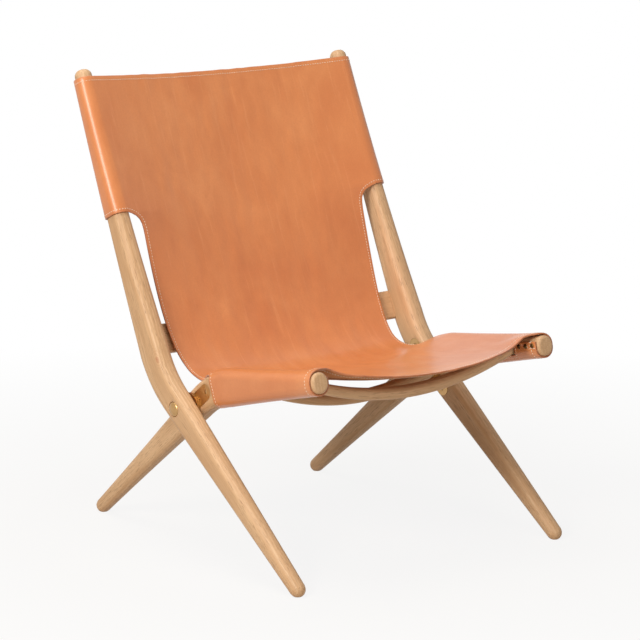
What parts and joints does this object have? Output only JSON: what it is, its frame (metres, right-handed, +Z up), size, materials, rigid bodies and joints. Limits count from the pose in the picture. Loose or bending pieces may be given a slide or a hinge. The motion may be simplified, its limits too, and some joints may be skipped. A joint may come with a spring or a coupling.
{
  "type": "leather sling lounge chair",
  "caption": "Folding lounge chair: two curved oak frames cross at brass pivots and carry one leather sling as back and seat.",
  "frame": {"origin": "on the floor, under the middle of the chair's bounds", "axes": "+X to the right of someone who looks at the chair's front, -Y out of the front, +Z up"},
  "size_m": [0.586, 0.6454, 0.7813],
  "materials": {
    "oak": "soaped, matt",
    "leather": "smooth vegetable-tanned, satin",
    "brass": "lightly worn",
    "antique_brass": "darkened"
  },
  "bodies": {
    "back_frame": {"back_rail": "oak", "left_upright": "oak", "left_upright_plate": "brass", "left_pivot_bolt": "brass", "left_pivot_washer": "brass", "left_pivot_nut": "brass", "left_upright_plate_screw_1": "brass", "left_upright_plate_screw_2": "brass", "left_back_rail_screw_1": "brass", "left_back_rail_screw_2": "brass", "left_back_stud_1": "antique_brass", "left_back_stud_2": "antique_brass", "left_back_stud_3": "antique_brass", "left_back_stud_4": "antique_brass", "left_back_stud_5": "antique_brass", "left_back_stud_6": "antique_brass", "right_upright": "oak", "right_upright_plate": "brass", "right_pivot_bolt": "brass", "right_pivot_washer": "brass", "right_pivot_nut": "brass", "right_upright_plate_screw_1": "brass", "right_upright_plate_screw_2": "brass", "right_back_rail_screw_1": "brass", "right_back_rail_screw_2": "brass", "right_back_stud_1": "antique_brass", "right_back_stud_2": "antique_brass", "right_back_stud_3": "antique_brass", "right_back_stud_4": "antique_brass", "right_back_stud_5": "antique_brass", "right_back_stud_6": "antique_brass", "back_sling": "leather", "sling_waist": "leather"},
    "seat_frame": {"front_bow_rail": "oak", "rear_bow_rail": "oak", "left_seat_side": "oak", "left_seat_plate": "brass", "left_seat_plate_screw_1": "brass", "left_seat_plate_screw_2": "brass", "left_seat_stud_1": "antique_brass", "left_seat_stud_2": "antique_brass", "left_seat_stud_3": "antique_brass", "left_seat_stud_4": "antique_brass", "left_seat_stud_5": "antique_brass", "left_seat_stud_6": "antique_brass", "right_seat_side": "oak", "right_seat_plate": "brass", "right_seat_plate_screw_1": "brass", "right_seat_plate_screw_2": "brass", "right_seat_stud_1": "antique_brass", "right_seat_stud_2": "antique_brass", "right_seat_stud_3": "antique_brass", "right_seat_stud_4": "antique_brass", "right_seat_stud_5": "antique_brass", "right_seat_stud_6": "antique_brass", "seat_sling": "leather"}
  },
  "joints": [
    {"name": "fold", "type": "hinge", "parent": "back_frame", "child": "seat_frame", "pos_m": [0, 0.01617, 0.2455], "axis": [-1, 0, 0], "range_deg": [0, 95], "deforming": ["sling_waist"]}
  ]
}
